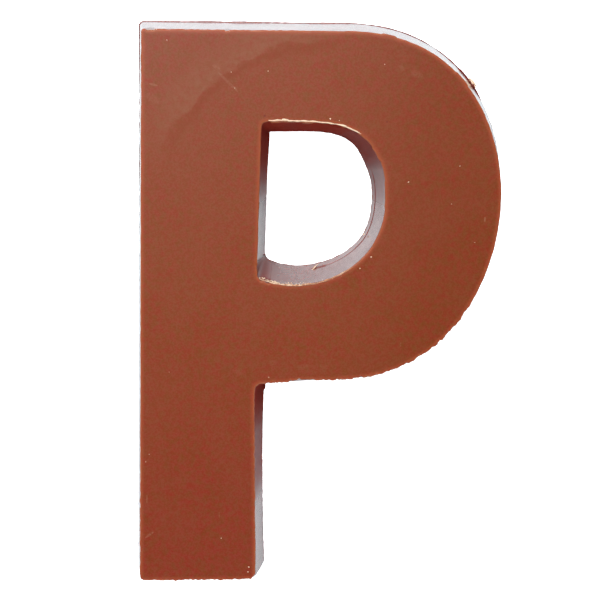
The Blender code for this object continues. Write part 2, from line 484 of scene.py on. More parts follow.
def uneven_ring(edges_at, corners, height, inset):
    """The outline at one level, with its swells, nicks and chips."""
    is_counter = edges_at is counter_edges
    share = 1 - height / THICKNESS
    points = outline_points(edges_at, corners, share, inset)
    near_face = within((height - NICKS_START) / NICKS_GROW)
    fade = 1 - within((inset - ARRIS_RADIUS) / CROWN_WIDTH)
    moved = []
    for before, point, after in zip(points[-1:] + points[:-1], points, points[1:] + points[:1]):
        inward = inward_normal(after - before)
        depth = -wall_outset(point, height, is_counter) * fade
        nick = FACE_NICK_DEPTH * uneven(point, FACE_NICK_LEVEL, FACE_NICK_SIZE)
        nick += chip_depth(point) + raggedness(point)
        moved.append(point + inward * (depth + near_face * fade * nick))
    return moved


def add_ring(mesh, points, height, layers, inset):
    """A closed ring of edges at one level. Its vertices note the polish, rim and pour for the finish."""
    verts = [mesh.verts.new((point.x, point.y, height)) for point in points]
    rim = 0.0
    if height > WALL_TOP:
        rim = 1 - min(inset / (ARRIS_RADIUS + CROWN_WIDTH), 1.0)
    for vert, point in zip(verts, points):
        vert[layers[0]] = polish(point)
        vert[layers[1]] = rim
        vert[layers[2]] = 0.0 if height else 1.0
    return [mesh.edges.new(pair) for pair in zip(verts, verts[1:] + verts[:1])]


def letter_mesh():
    """The walls of the letter and its counter, closed by the poured back and the moulded face."""
    mesh = bmesh.new()
    layers = [mesh.verts.layers.float.new(name) for name in ("polish", "rim", "poured")]
    ends = []
    for edges_at, corners in OUTLINES:
        rings = []
        for height, inset in wall_sections():
            points = uneven_ring(edges_at, corners, height, inset)
            rings.append(add_ring(mesh, points, height, layers, inset))
            if len(rings) > 1:
                joined = bmesh.ops.bridge_loops(mesh, edges=rings[-2] + rings[-1])
                for face in joined["faces"]:
                    face.material_index = 1 if height <= WALL_TOP else 0
        ends.append((rings[0], rings[-1]))
    for back_or_face in zip(*ends):
        edges = [edge for ring in back_or_face for edge in ring]
        bmesh.ops.triangle_fill(mesh, edges=edges, use_beauty=True)
    bmesh.ops.recalc_face_normals(mesh, faces=mesh.faces)
    return mesh


# Moving a finished mesh onto the frame

def letter_to_frame():
    """From the letter's own millimetres to the frame's metres."""
    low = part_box("letter")[0]
    shift = Matrix.Translation((low.x, low.y, 0.0))
    corner = Matrix.Translation((LIP_LEFT, LIP_FOOT, 0.0))
    return shift @ Matrix.Scale(METRES_PER_MM, 4) @ corner


def piece_from(mesh, name, finishes, sharp_angle=None):
    """A named piece of the letter, with its finishes, on the frame."""
    mesh.transform(letter_to_frame())
    data = bpy.data.meshes.new(name)
    mesh.to_mesh(data)
    mesh.free()
    for finish in finishes:
        data.materials.append(finish)
    data.shade_smooth()
    if sharp_angle:
        data.set_sharp_from_angle(angle=math.radians(sharp_angle))
    made = bpy.data.objects.new(name, data)
    bpy.context.scene.collection.objects.link(made)
    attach(made, "root")
    return made


# Pale crumbs, flakes and burrs

CRUMB_SEED = 7
BEAD_SIDES = 8
# Burrs along the counter's arris:
# (first x, last x, lowest y, highest y, inset, width, how lumpy, how brown at its start and its end)
BURRS = (
    # The first, upper burr's pale cream is partly a painted highlight on the counter's top arris.
    (28.2, 49.4, 104.0, 110.0, 0.3, 0.33, 0.7, 0.2, 0.05),
    (26.8, 48.5, 68.0, 75.5, 0.05, 0.32, 1.1, 0.35, 1.1),
)
BURR_TAPER = 1.5
BURR_LUMP_SIZE = 1.1
BURR_SWAY = 0.17
BURR_SWAY_SIZE = 1.7
BURR_TONE = 0.5
BURR_TONE_SIZE = 0.7
# A bump on the upper burr: (x, half its length, how much wider)
BURR_BUMP = (32.2, 0.8, 0.6)
BUMP_RISE = 0.3
# How wide a bead's ends are, as a share of its middle
BEAD_END = 0.3
# A shaving that curls off the counter's lower wall: its ends and middle, and its width
SHAVING = ((39.3, 72.35, 5.4), (40.0, 73.2, 4.4), (41.1, 73.9, 2.6))
SHAVING_WIDTH = 0.3
SHAVING_STEPS = 12
SHAVING_BROWN = 0.1
# Lumps: (x, y, z, length, width, height, turn in degrees, how brown)
FLAKES = (
    (76.5, 117.15, 0.9, 2.7, 0.75, 0.6, -52, 0.2),
    (76.6, 116.5, 0.9, 2.0, 0.5, 0.5, -55, 2.0),
    (29.2, 74.0, 1.0, 0.5, 0.4, 0.4, 20, 0.3),
    (28.5, 74.7, 1.0, 0.4, 0.3, 0.3, 70, 1.8),
    (28.4, 75.6, 1.2, 0.35, 0.3, 0.3, 30, 1.9),
    (29.6, 73.8, 0.8, 0.35, 0.3, 0.3, 0, 1.7),
    (30.4, 73.3, 0.8, 0.3, 0.25, 0.3, 50, 0.3),
    (51.6, 81.2, 3.9, 0.5, 0.3, 0.3, 60, 0.1),
    (28.75, 25.8, 0.7, 0.4, 0.3, 0.3, 90, 0.2),
)
# How lumpy a lump is: (how far its lumps stand out, how fine they are)
CRUMB_LUMPS = (0.5, 2.2)
FLAKE_LUMPS = (0.55, 2.6)
# The least and most of a crumb's breadth and height, as shares of its width, and of its brown
CRUMB_BREADTHS = (0.55, 0.9)
CRUMB_HEIGHTS = (0.4, 0.7)
CRUMB_BROWNS = (0.0, 0.6)
CRUMB_RISE = 0.1
NOISE_REACH = 50
# Crumbs that lie on the face: (x, y, width)
FACE_CRUMBS = (
    (5.7, 124.9, 0.24), (20.0, 118.2, 0.24), (28.2, 118.6, 0.38), (20.8, 114.7, 0.22), (42.3, 108.3, 0.36),
    (44.4, 108.0, 0.22), (54.2, 120.6, 0.2), (60.4, 94.5, 0.34), (71.9, 98.3, 0.24), (52.4, 77.3, 0.4),
    (70.4, 89.7, 0.2), (6.6, 49.9, 0.2), (29.5, 49.0, 0.3), (19.0, 10.3, 0.24), (25.6, 3.3, 0.4),
    (25.4, 2.1, 0.32), (49.9, 74.6, 0.28), (76.0, 81.0, 0.2), (1.3, 28.6, 0.24), (2.1, 30.4, 0.2),
)
# The runs of crumbs at the edges, most of them at the counter's: (start, end, how many, width)
EDGE_CRUMBS = (
    ((26.9, 72.2), (30.0, 71.2), 14, 0.24),
    ((29.8, 71.2), (31.6, 70.8), 8, 0.4),
    ((31.4, 70.8), (38.8, 70.9), 26, 0.24),
    ((38.8, 70.9), (46.0, 72.8), 12, 0.16),
    ((1.0, 127.0), (3.6, 127.0), 9, 0.18),
    ((18.6, 127.2), (19.6, 127.2), 4, 0.2),
)
EDGE_CRUMB_PLACES = (0.1, 0.9)
EDGE_CRUMB_SWAYS = (-0.1, 0.25)
EDGE_CRUMB_SIZES = (0.6, 1.3)
EDGE_CRUMB_SINK = 0.05


def browned(mesh, verts, share):
    """Notes for the finish how brown these vertices' lump is."""
    layer = mesh.verts.layers.float["browned"]
    for vert in verts:
        vert[layer] = share


def noise_start(chance):
    """A place of its own in the noise for each lump."""
    return Vector([chance.random() * NOISE_REACH for axis in "xyz"])


def lumped(place, start, lumps):
    """A place on a plain ball, moved in or out by the noise."""
    depth, fineness = lumps
    return place * (1 + depth * noise.noise(place * fineness + start))


def crumb(mesh, place, width, chance):
    """One crumb, a small irregular lump that rests at its place."""
    made = bmesh.ops.create_icosphere(mesh, subdivisions=2, radius=0.5)["verts"]
    start = noise_start(chance)
    stretch = Vector((1.0, chance.uniform(*CRUMB_BREADTHS), chance.uniform(*CRUMB_HEIGHTS)))
    turn = Matrix.Rotation(chance.uniform(0, math.pi), 3, "Z")
    for vert in made:
        vert.co = turn @ (lumped(vert.co, start, CRUMB_LUMPS) * stretch) * width + place
    browned(mesh, made, chance.uniform(*CRUMB_BROWNS))


def bead(mesh, path, widths, browns):
    """A thin closed bead of chocolate along a path."""
    rings = []
    for i, (place, width, brown) in enumerate(zip(path, widths, browns)):
        along = path[min(i + 1, len(path) - 1)] - path[max(i - 1, 0)]
        turned = along.to_track_quat("Z", "Y").to_matrix().to_4x4()
        made = bmesh.ops.create_circle(
            mesh, segments=BEAD_SIDES, radius=width / 2, matrix=Matrix.Translation(place) @ turned
        )["verts"]
        browned(mesh, made, brown)
        rings.append(list({edge for vert in made for edge in vert.link_edges}))
        if len(rings) > 1:
            bmesh.ops.bridge_loops(mesh, edges=rings[-2] + rings[-1])
    for end in (rings[0], rings[-1]):
        bmesh.ops.edgeloop_fill(mesh, edges=end)


def bead_width(width, fullness):
    """A bead's width, where its ends are narrower than its middle."""
    return width * (BEAD_END + (1 - BEAD_END) * fullness)


def burr(mesh, first, last, lowest, highest, inset, burr_width, lumpy, start_brown, end_brown):
    """A pale burr that stands along part of the counter's arris."""
    edges_at, corners = OUTLINES[1]
    bump_x, bump_half, bump_more = BURR_BUMP
    path = []
    widths = []
    browns = []
    for point in outline_points(edges_at, corners, 0.0, inset):
        if not (lowest < point.y < highest and first < point.x < last):
            continue
        taper = min((point.x - first) / BURR_TAPER, (last - point.x) / BURR_TAPER, 1.0)
        bump = bump_more * flat_topped(spreads_away(point, bump_x, COUNTER_TOP, bump_half))
        lumps = lumpy * uneven(point, BURR_LUMP_LEVEL, BURR_LUMP_SIZE)
        sway = BURR_SWAY * uneven(point, BURR_SWAY_LEVEL, BURR_SWAY_SIZE) + bump * BUMP_RISE
        tone = BURR_TONE * lumpy * uneven(point, BURR_TONE_LEVEL, BURR_TONE_SIZE)
        brown = start_brown + (end_brown - start_brown) * (point.x - first) / (last - first)
        path.append(Vector((point.x, point.y + sway, THICKNESS - CROWN_DROP)))
        widths.append(bead_width(burr_width, taper) * (1 + bump + lumps))
        browns.append(brown + tone)
    bead(mesh, path, widths, browns)


def shaving(mesh):
    """The shaving that curls off the counter's lower wall, thinner at both ends."""
    shares = [i / SHAVING_STEPS for i in range(SHAVING_STEPS + 1)]
    path = [point_on([Vector(place) for place in SHAVING], share) for share in shares]
    widths = [bead_width(SHAVING_WIDTH, math.sin(math.pi * share)) for share in shares]
    bead(mesh, path, widths, [SHAVING_BROWN] * len(path))


def flake(mesh, shape, chance):
    """An irregular flake, longer than it is wide."""
    x, y, z, length, width, height, turn, brown = shape
    made = bmesh.ops.create_icosphere(mesh, subdivisions=3, radius=0.5)["verts"]
    start = noise_start(chance)
    turned = Matrix.Rotation(math.radians(turn), 3, "Z")
    for vert in made:
        sized = lumped(vert.co, start, FLAKE_LUMPS) * Vector((length, width, height))
        vert.co = turned @ sized + Vector((x, y, z))
    browned(mesh, made, brown)


def crumbs_mesh():
    """Every burr, flake and crumb, as one mesh whose vertices note how brown they are."""
    chance = random.Random(CRUMB_SEED)
    mesh = bmesh.new()
    mesh.verts.layers.float.new("browned")
    for shape in BURRS:
        burr(mesh, *shape)
    shaving(mesh)
    for shape in FLAKES:
        flake(mesh, shape, chance)
    for x, y, width in FACE_CRUMBS:
        crumb(mesh, Vector((x, y, THICKNESS + width * CRUMB_RISE)), width, chance)
    for start, end, count, width in EDGE_CRUMBS:
        for i in range(count):
            along = (i + chance.uniform(*EDGE_CRUMB_PLACES)) / count
            place = Vector(start).lerp(Vector(end), along).to_3d()
            place.y += chance.uniform(*EDGE_CRUMB_SWAYS)
            place.z = THICKNESS - EDGE_CRUMB_SINK
            crumb(mesh, place, width * chance.uniform(*EDGE_CRUMB_SIZES), chance)
    bmesh.ops.recalc_face_normals(mesh, faces=mesh.faces)
    return mesh


# Finishes

CHOCOLATE = (0.239, 0.0405, 0.0068, 1.0)
CHOCOLATE_RUDDY = (0.27, 0.03, 0.009, 1.0)
CHOCOLATE_OLIVE = (0.208, 0.05, 0.0045, 1.0)
CHOCOLATE_PALE = (0.29, 0.095, 0.052, 1.0)
CHOCOLATE_CLEAR = (0.222, 0.034, 0.003, 1.0)
# A pale haze of bloom, also used as painted sheen towards the face's top left corner
CHOCOLATE_HAZE_AND_SHEEN = (0.262, 0.082, 0.035, 1.0)
# Where the walls are dull they take a deeper red base, partly painted shade where they mirror shaded floor.
WALL_DULL_AND_SHADED = (0.285, 0.024, 0.0105, 1.0)
WALL_POLISHED = (0.19, 0.024, 0.014, 1.0)
WALL_DARK = (0.15, 0.018, 0.01, 1.0)
# Low on the stem's right side the wall is less polished, and its ruddier, bluer base is partly a painted
# mauve reflection.
WALL_RUDDY_REFLECTION = (0.25, 0.025, 0.02, 1.0)
RUDDY_PLACE = (29.5, 11.0, 8.0)
RUDDY_CORE = 12.0
RUDDY_REACH = 24.0
RUDDY_POLISH = 0.83
# Painted light on the face's arris: a tan painted highlight and a warm painted glow
ARRIS_PAINTED_HIGHLIGHT = (0.4, 0.12, 0.045, 1.0)
ARRIS_PAINTED_GLOW = (0.4, 0.085, 0.032, 1.0)
SCRATCH_TAN = (0.38, 0.17, 0.1, 1.0)
CRUMB_CREAM = (0.95, 0.72, 0.5, 1.0)
CRUMB_BROWN = (0.5, 0.2, 0.09, 1.0)
CRUMB_DARK = (0.2, 0.03, 0.012, 1.0)
# How brown a lump is where it starts to turn dark, and where it is dark
DARK_BROWNS = (1.0, 1.8)
FACE_ROUGHNESS = (0.39, 0.45)
BACK_ROUGHNESS = 0.6
BACK_HAZE = 0.65
CRUMB_ROUGHNESS = 0.6
FACE_SPECULAR = 0.27
WALL_SPECULAR = 0.12
DULL_ROUGHNESS = 1.0
POLISH_ROUGHNESS = 0.13
POLISH_IOR = 1.55
# Light soaks a little way into the chocolate, red the furthest.
SOAK_WEIGHT = 0.5
SOAK_DEPTH = 0.0012
SOAK_SHARES = (1.0, 0.3, 0.15)
# The sizes of the patches that a noise makes, and the parts of its range that are used
DRIFT_SIZE = 11.0
SPECK_SIZE = 1.3
GRAIN_SIZE = 0.36
SMEAR_BREAK_SIZE = 1.6
SCRATCH_BREAK_SIZE = 0.5
HIGHLIGHT_PATCH_SIZE = 2.2
SWELL_SIZE = 6.0
STREAK_SIZE = 1.2
RIPPLE_SIZE = 9.0
DRAWN_SIZE = 0.9
SCUFF_SIZE = 1.6
NARROW_NOISE = (0.3, 0.7)
WIDE_NOISE = (0.25, 0.75)
WIDEST_NOISE = (0.2, 0.8)
SCRATCH_NOISE = (0.3, 0.5)
SCUFF_NOISE = (0.25, 0.6)
# How finely a finish is patterned, against the face
WALL_FINENESS = 0.8
CRUMB_FINENESS = 0.3
# How much of a second tone these mix in, or from how much to how much
DRIFT_SHARE = 0.5
GRAIN_SHARE = 0.27
WALL_SPECK_SHARE = 0.35
SMEAR_BREAKS = (0.25, 0.95)
HIGHLIGHT_PATCHES = (0.35, 0.8)
CRUMB_SPECKS = (-0.2, 0.2)
DRAWN_WEAR = (0.85, 1.0)
SCUFF_WEAR = (0.86, 1.0)
# Scales that draw a pattern out across the letter, up its walls, or along and up them
ACROSS = (0.12, 1.0, 1.0)
UPWARDS = (1.0, 1.0, 0.12)
ALONG_WALLS = (1.0, 0.45, 0.45)
# Relief in millimetres, and how high the face's and back's slower forms stand against the grain
FACE_RELIEF = 0.006
WALL_RELIEF = 0.02
CRUMB_RELIEF = 0.02
SWELL_HEIGHT = 4.0
STREAK_HEIGHT = 18.0
RIPPLE_HEIGHT = 48.0
# Where the rim of the face gets a warm painted glow, and where its arris gets tan painted highlight
GLOW_RIM = (0.1, 0.8)
GLOW_RIM_SHARE = 0.5
HIGHLIGHT_RIM = (0.74, 0.86)
# A faint smear swept round this centre, with clearer chocolate inside it and a haze outside
SMEAR_CENTRE = (43.0, 84.4, 16.0)
SMEAR_RADIUS = 41.3
SMEAR_WIDTH = 2.0
SMEAR_HAZE = (1.0, 9.0)
SMEAR_WANDER = 1.2
SMEAR_WANDER_SIZE = 7.0
SMEAR_GLOSS = 0.05
# A painted sheen with some bloom pales the face towards its top left corner, the foot is redder, and
# painted shade deepens the bowl's end.
SHEEN_BLOOM_CENTRE = (0.0, 127.0, 16.0)
SHEEN_BLOOM_REACH = 110.0
SHEEN_BLOOM_STRENGTH = 0.12
FOOT_CENTRE = (16.0, 0.0, 16.0)
FOOT_REACH = 75.0
FOOT_TINT = (1.0, 0.8, 0.95, 1.0)
# Painted shade darkens the bowl's end: it grows between these distances from a far point on the left.
FAR_LEFT = (-200.0, 88.0, 16.0)
BOWL_SHADE_START = 238.0
BOWL_SHADE_END = 274.0
BOWL_PAINTED_SHADE = (0.905, 0.84, 0.66, 1.0)
# Where the smear can be seen: its middle, and how far it stays plain and reaches
SMEAR_MIDDLE = (20.0, 119.0, 16.0)
SMEAR_CORE = 12.0
SMEAR_REACH = 30.0
# Scratches and scuffs: (start, end, width, strength)
SCRATCHES = (
    ((17.0, 118.2, 16.0), (21.6, 113.8, 16.0), 0.24, 0.2),
    ((15.9, 119.6, 16.0), (17.4, 118.9, 16.0), 0.6, 0.2),
    ((20.6, 115.0, 16.0), (21.2, 114.4, 16.0), 0.4, 0.3),
    ((60.2, 118.9, 16.0), (62.6, 118.2, 16.0), 0.9, 0.13),
    ((57.5, 120.2, 16.0), (58.6, 119.6, 16.0), 0.8, 0.12),
    ((29.6, 52.6, 16.0), (30.8, 52.3, 16.0), 0.9, 0.1),
    ((36.4, 51.4, 16.0), (38.4, 51.7, 16.0), 0.8, 0.12),
    ((41.4, 51.9, 16.0), (43.0, 51.3, 16.0), 0.8, 0.1),
    ((21.4, 50.6, 16.0), (23.4, 49.8, 16.0), 0.9, 0.1),
    ((1.4, 113.0, 16.0), (3.8, 111.2, 16.0), 0.9, 0.12),
    ((78.1, 86.9, 16.0), (78.1, 85.7, 16.0), 0.4, 0.4),
    ((1.2, 10.2, 16.0), (3.2, 11.7, 16.0), 0.3, 0.36),
    ((1.6, 20.6, 16.0), (1.6, 18.6, 16.0), 0.25, 0.3),
    ((18.5, 16.7, 16.0), (18.5, 15.2, 16.0), 0.14, 0.3),
    ((59.8, 57.7, 16.0), (59.8, 56.5, 16.0), 0.14, 0.45),
    ((1.8, 115.3, 16.0), (3.7, 114.9, 16.0), 0.34, 0.32),
)
# Pits in the face, drawn only as painted shade: (x, y, z, width)
SHADED_PITS = ((27.6, 108.7, 16.0, 0.5), (50.1, 49.3, 16.0, 0.45), (55.1, 107.9, 16.0, 0.4))
PIT_FLOOR = 0.3
PIT_RIM = 0.6
PIT_SHADE_STRENGTH = 0.7


def add_node(tree, kind, **settings):
    made = tree.nodes.new(kind)
    for name, value in settings.items():
        setattr(made, name, value)
    return made


def feed(tree, socket, source):
    """Gives a socket a value, or joins another node's socket to it."""
    if isinstance(source, bpy.types.NodeSocket):
        tree.links.new(source, socket)
    else:
        socket.default_value = source


def letter_coordinates(tree):
    """The piece's own coordinates, in the letter's millimetres."""
    coordinates = add_node(tree, "ShaderNodeTexCoord")
    back_to_letter = letter_to_frame().inverted()
    placed = add_node(tree, "ShaderNodeMapping")
    feed(tree, placed.inputs["Vector"], coordinates.outputs["Object"])
    feed(tree, placed.inputs["Location"], back_to_letter.to_translation())
    feed(tree, placed.inputs["Scale"], back_to_letter.to_scale())
    return placed.outputs["Vector"]


def stretched(tree, point, scale):
    """Coordinates drawn out by these scales, for a grain with a direction."""
    made = add_node(tree, "ShaderNodeMapping")
    feed(tree, made.inputs["Vector"], point)
    feed(tree, made.inputs["Scale"], scale)
    return made.outputs["Vector"]


def noise_value(tree, point, size, detail=2.0, roughness=0.5):
    made = add_node(tree, "ShaderNodeTexNoise")
    feed(tree, made.inputs["Vector"], point)
    feed(tree, made.inputs["Scale"], 1 / size)
    feed(tree, made.inputs["Detail"], detail)
    feed(tree, made.inputs["Roughness"], roughness)
    return made.outputs["Fac"]


def ranged(tree, value, low, high, to_low=0.0, to_high=1.0):
    """A value from low to high, eased into a value from to_low to to_high."""
    made = add_node(tree, "ShaderNodeMapRange", interpolation_type="SMOOTHSTEP")
    limits = {"Value": value, "From Min": low, "From Max": high, "To Min": to_low, "To Max": to_high}
    for name, source in limits.items():
        feed(tree, made.inputs[name], source)
    return made.outputs["Result"]


def fading(tree, value, low, high, most=1.0):
    """The most up to the low value, falling to 0 at the high one."""
    return ranged(tree, value, low, high, most, 0.0)


def eased(tree, mask, least, most):
    """A mask of 0 to 1, eased to run from the least to the most."""
    return ranged(tree, mask, 0.0, 1.0, least, most)


def sums(tree, operation, first, second=0.0):
    made = add_node(tree, "ShaderNodeMath", operation=operation)
    feed(tree, made.inputs[0], first)
    feed(tree, made.inputs[1], second)
    return made.outputs[0]


def plus(tree, first, second):
    return sums(tree, "ADD", first, second)


def minus(tree, first, second):
    return sums(tree, "SUBTRACT", first, second)


def times(tree, first, second):
    return sums(tree, "MULTIPLY", first, second)


def distance(tree, first, second):
    made = add_node(tree, "ShaderNodeVectorMath", operation="DISTANCE")
    feed(tree, made.inputs[0], first)
    feed(tree, made.inputs[1], second)
    return made.outputs["Value"]


def mixed(tree, factor, first, second, blend="MIX"):
    made = add_node(tree, "ShaderNodeMix", data_type="RGBA", blend_type=blend)
    feed(tree, made.inputs[0], factor)
    feed(tree, made.inputs[6], first)
    feed(tree, made.inputs[7], second)
    return made.outputs[2]


def attribute(tree, name):
    return add_node(tree, "ShaderNodeAttribute", attribute_name=name).outputs["Fac"]


def new_group(name, inputs, outputs):
    """An empty node group with named sockets: its tree, its inputs' sockets, and its output node."""
    tree = bpy.data.node_groups.new(name, "ShaderNodeTree")
    for socket_name, kind in inputs:
        tree.interface.new_socket(name=socket_name, in_out="INPUT", socket_type=kind)
    for socket_name, kind in outputs:
        tree.interface.new_socket(name=socket_name, in_out="OUTPUT", socket_type=kind)
    return tree, tree.nodes.new("NodeGroupInput").outputs, tree.nodes.new("NodeGroupOutput").inputs


def place_group(tree, group, **sources):
    """Puts a node group into a material, with its inputs by name, and gives its outputs."""
    made = tree.nodes.new("ShaderNodeGroup")
    made.node_tree = group
    for name, source in sources.items():
        feed(tree, made.inputs[name.replace("_", " ")], source)
    return made.outputs


def cloudiness_group():
    """How moulded chocolate varies: a slow drift of tone, fine specks of tone, and a fine grain."""
    inputs = (("Point", "NodeSocketVector"), ("Size", "NodeSocketFloat"))
    outputs = (("Drift", "NodeSocketFloat"), ("Specks", "NodeSocketFloat"), ("Grain", "NodeSocketFloat"))
    tree, given, result = new_group("cloudiness", inputs, outputs)
    scaled = add_node(tree, "ShaderNodeVectorMath", operation="SCALE")
    feed(tree, scaled.inputs[0], given["Point"])
    feed(tree, scaled.inputs["Scale"], sums(tree, "DIVIDE", 1.0, given["Size"]))
    point = scaled.outputs[0]
    drift = noise_value(tree, point, DRIFT_SIZE, detail=3.0)
    specks = noise_value(tree, point, SPECK_SIZE, roughness=0.6)
    grain = noise_value(tree, point, GRAIN_SIZE)
    feed(tree, result["Drift"], ranged(tree, drift, *NARROW_NOISE))
    feed(tree, result["Specks"], ranged(tree, specks, *WIDE_NOISE))
    feed(tree, result["Grain"], ranged(tree, grain, *NARROW_NOISE))
    return tree


def scratch_group():
    """A faint straight mark from one point to another, broken up along its length."""
    inputs = (
        ("Point", "NodeSocketVector"),
        ("Start", "NodeSocketVector"),
        ("End", "NodeSocketVector"),
        ("Width", "NodeSocketFloat"),
    )
    tree, given, result = new_group("scratch", inputs, (("Mark", "NodeSocketFloat"),))
    to_start = distance(tree, given["Point"], given["Start"])
    to_end = distance(tree, given["Point"], given["End"])
    length = distance(tree, given["Start"], given["End"])
    beyond = minus(tree, plus(tree, to_start, to_end), length)
    nearness = fading(tree, beyond, 0.0, times(tree, given["Width"], given["Width"]))
    broken = ranged(tree, noise_value(tree, given["Point"], SCRATCH_BREAK_SIZE), *SCRATCH_NOISE)
    feed(tree, result["Mark"], times(tree, nearness, broken))
    return tree


CLOUDINESS = cloudiness_group()
SCRATCH = scratch_group()


def new_finish(name):
    made = bpy.data.materials.new(name)
    made.use_nodes = True
    return made, made.node_tree, made.node_tree.nodes["Principled BSDF"]


def let_light_soak(shader):
    shader.inputs["Subsurface Weight"].default_value = SOAK_WEIGHT
    shader.inputs["Subsurface Scale"].default_value = SOAK_DEPTH
    shader.inputs["Subsurface Radius"].default_value = SOAK_SHARES


def bumped(tree, shader, height, depth):
    """Gives the surface relief of this depth in millimetres."""
    made = add_node(tree, "ShaderNodeBump")
    feed(tree, made.inputs["Height"], height)
    feed(tree, made.inputs["Distance"], depth * METRES_PER_MM)
    feed(tree, shader.inputs["Normal"], made.outputs["Normal"])


def smear_masks(tree, point, moulded):
    """Where the swept smear darkens the face, and where a haze pales it."""
    wander = noise_value(tree, point, SMEAR_WANDER_SIZE, detail=3.0)
    wander = ranged(tree, wander, *WIDEST_NOISE, -SMEAR_WANDER, SMEAR_WANDER)
    out = plus(tree, minus(tree, distance(tree, point, SMEAR_CENTRE), SMEAR_RADIUS), wander)
    from_band = sums(tree, "ABSOLUTE", plus(tree, out, SMEAR_WIDTH / 2))
    band = fading(tree, from_band, 0.0, SMEAR_WIDTH)
    haze = times(tree, ranged(tree, out, 0.0, SMEAR_WIDTH / 3), fading(tree, out, *SMEAR_HAZE))
    seen = fading(tree, distance(tree, point, SMEAR_MIDDLE), SMEAR_CORE, SMEAR_REACH)
    seen = times(tree, seen, moulded)
    return times(tree, band, seen), times(tree, haze, seen)


def clouded(tree, clouds):
    """Milk chocolate with ruddy and olive specks, a slow drift of tone and a fine pale grain."""
    colour = mixed(tree, clouds["Specks"], CHOCOLATE_RUDDY, CHOCOLATE_OLIVE)
    colour = mixed(tree, eased(tree, clouds["Drift"], 0.0, DRIFT_SHARE), colour, CHOCOLATE)
    return mixed(tree, eased(tree, clouds["Grain"], 0.0, GRAIN_SHARE), colour, CHOCOLATE_PALE)


def smeared(tree, point, colour, smear, haze):
    """The smear's clearer chocolate and the haze outside it, both broken up."""
    broken = noise_value(tree, point, SMEAR_BREAK_SIZE, detail=4.0, roughness=0.7)
    broken = ranged(tree, broken, *NARROW_NOISE, *SMEAR_BREAKS)
    colour = mixed(tree, times(tree, smear, broken), colour, CHOCOLATE_CLEAR)
    return mixed(tree, times(tree, haze, broken), colour, CHOCOLATE_HAZE_AND_SHEEN)


def tinted(tree, point, colour):
    """Painted sheen with some bloom at the top left corner, the redder foot, and painted shade at the end
    of the bowl.
    """
    # Painted sheen: paler towards the top left corner, where the light falls strongest.
    sheen_bloom = fading(tree, distance(tree, point, SHEEN_BLOOM_CENTRE), 0.0, SHEEN_BLOOM_REACH, SHEEN_BLOOM_STRENGTH)
    colour = mixed(tree, sheen_bloom, colour, CHOCOLATE_HAZE_AND_SHEEN)
    near_foot = fading(tree, distance(tree, point, FOOT_CENTRE), 0.0, FOOT_REACH)
    colour = mixed(tree, near_foot, colour, FOOT_TINT, "MULTIPLY")
    # Painted shade that deepens the end of the bowl, on the letter's right.
    across = ranged(tree, distance(tree, point, FAR_LEFT), BOWL_SHADE_START, BOWL_SHADE_END)
    return mixed(tree, across, colour, BOWL_PAINTED_SHADE, "MULTIPLY")


def marked(tree, point, colour):
    """The face's scratches and scuffs, and pits drawn as painted shade."""
    for start, end, width, strength in SCRATCHES:
        mark = place_group(tree, SCRATCH, Point=point, Start=start, End=end, Width=width)["Mark"]
        colour = mixed(tree, times(tree, mark, strength), colour, SCRATCH_TAN)
    # Each pit is a dark disc of painted shade, with no dent in the surface.
    for x, y, z, width in SHADED_PITS:
        away = distance(tree, point, (x, y, z))
        pit_shade = fading(tree, away, width * PIT_FLOOR, width * PIT_RIM, PIT_SHADE_STRENGTH)
        colour = mixed(tree, pit_shade, colour, WALL_DARK)
    return colour


def rim_painted_light(tree, point, colour):
    """Painted light on the face's rim: a warm painted glow, and patches of tan painted highlight along its
    arris.
    """
    rim = attribute(tree, "rim")
    colour = mixed(tree, ranged(tree, rim, *GLOW_RIM, 0.0, GLOW_RIM_SHARE), colour, ARRIS_PAINTED_GLOW)
    patches = ranged(tree, noise_value(tree, point, HIGHLIGHT_PATCH_SIZE), *WIDE_NOISE, *HIGHLIGHT_PATCHES)
    return mixed(tree, times(tree, ranged(tree, rim, *HIGHLIGHT_RIM), patches), colour, ARRIS_PAINTED_HIGHLIGHT)


def face_relief(tree, point, grain, poured):
    """A fine grain over a slow swell, and on the back the streaks and ripples that scraping left."""
    swell = times(tree, noise_value(tree, point, SWELL_SIZE), SWELL_HEIGHT)
    streaks = noise_value(tree, stretched(tree, point, ACROSS), STREAK_SIZE, detail=4.0, roughness=0.7)
    ripples = noise_value(tree, point, RIPPLE_SIZE, detail=3.0)
    scraped = plus(tree, times(tree, streaks, STREAK_HEIGHT), times(tree, ripples, RIPPLE_HEIGHT))
    return plus(tree, plus(tree, grain, swell), times(tree, poured, scraped))


def face_finish():
    """The satin moulded face, with painted highlight and glow on its arris, its smear, scratches and
    painted-shade pits, and the scraped back.
    """
    made, tree, shader = new_finish("moulded_face")
    point = letter_coordinates(tree)
    poured = attribute(tree, "poured")
    clouds = place_group(tree, CLOUDINESS, Point=point, Size=1.0)
    smear, haze = smear_masks(tree, point, minus(tree, 1.0, poured))
    colour = smeared(tree, point, clouded(tree, clouds), smear, haze)
    colour = tinted(tree, point, colour)
    colour = mixed(tree, times(tree, poured, BACK_HAZE), colour, CHOCOLATE_HAZE_AND_SHEEN)
    colour = rim_painted_light(tree, point, marked(tree, point, colour))
    feed(tree, shader.inputs["Base Color"], colour)
    rough = minus(tree, eased(tree, clouds["Drift"], *FACE_ROUGHNESS), times(tree, smear, SMEAR_GLOSS))
    rough = sums(tree, "MAXIMUM", rough, times(tree, poured, BACK_ROUGHNESS))
    feed(tree, shader.inputs["Roughness"], rough)
    feed(tree, shader.inputs["Specular IOR Level"], FACE_SPECULAR)
    bumped(tree, shader, face_relief(tree, point, clouds["Grain"], poured), FACE_RELIEF)
    let_light_soak(shader)
    return made


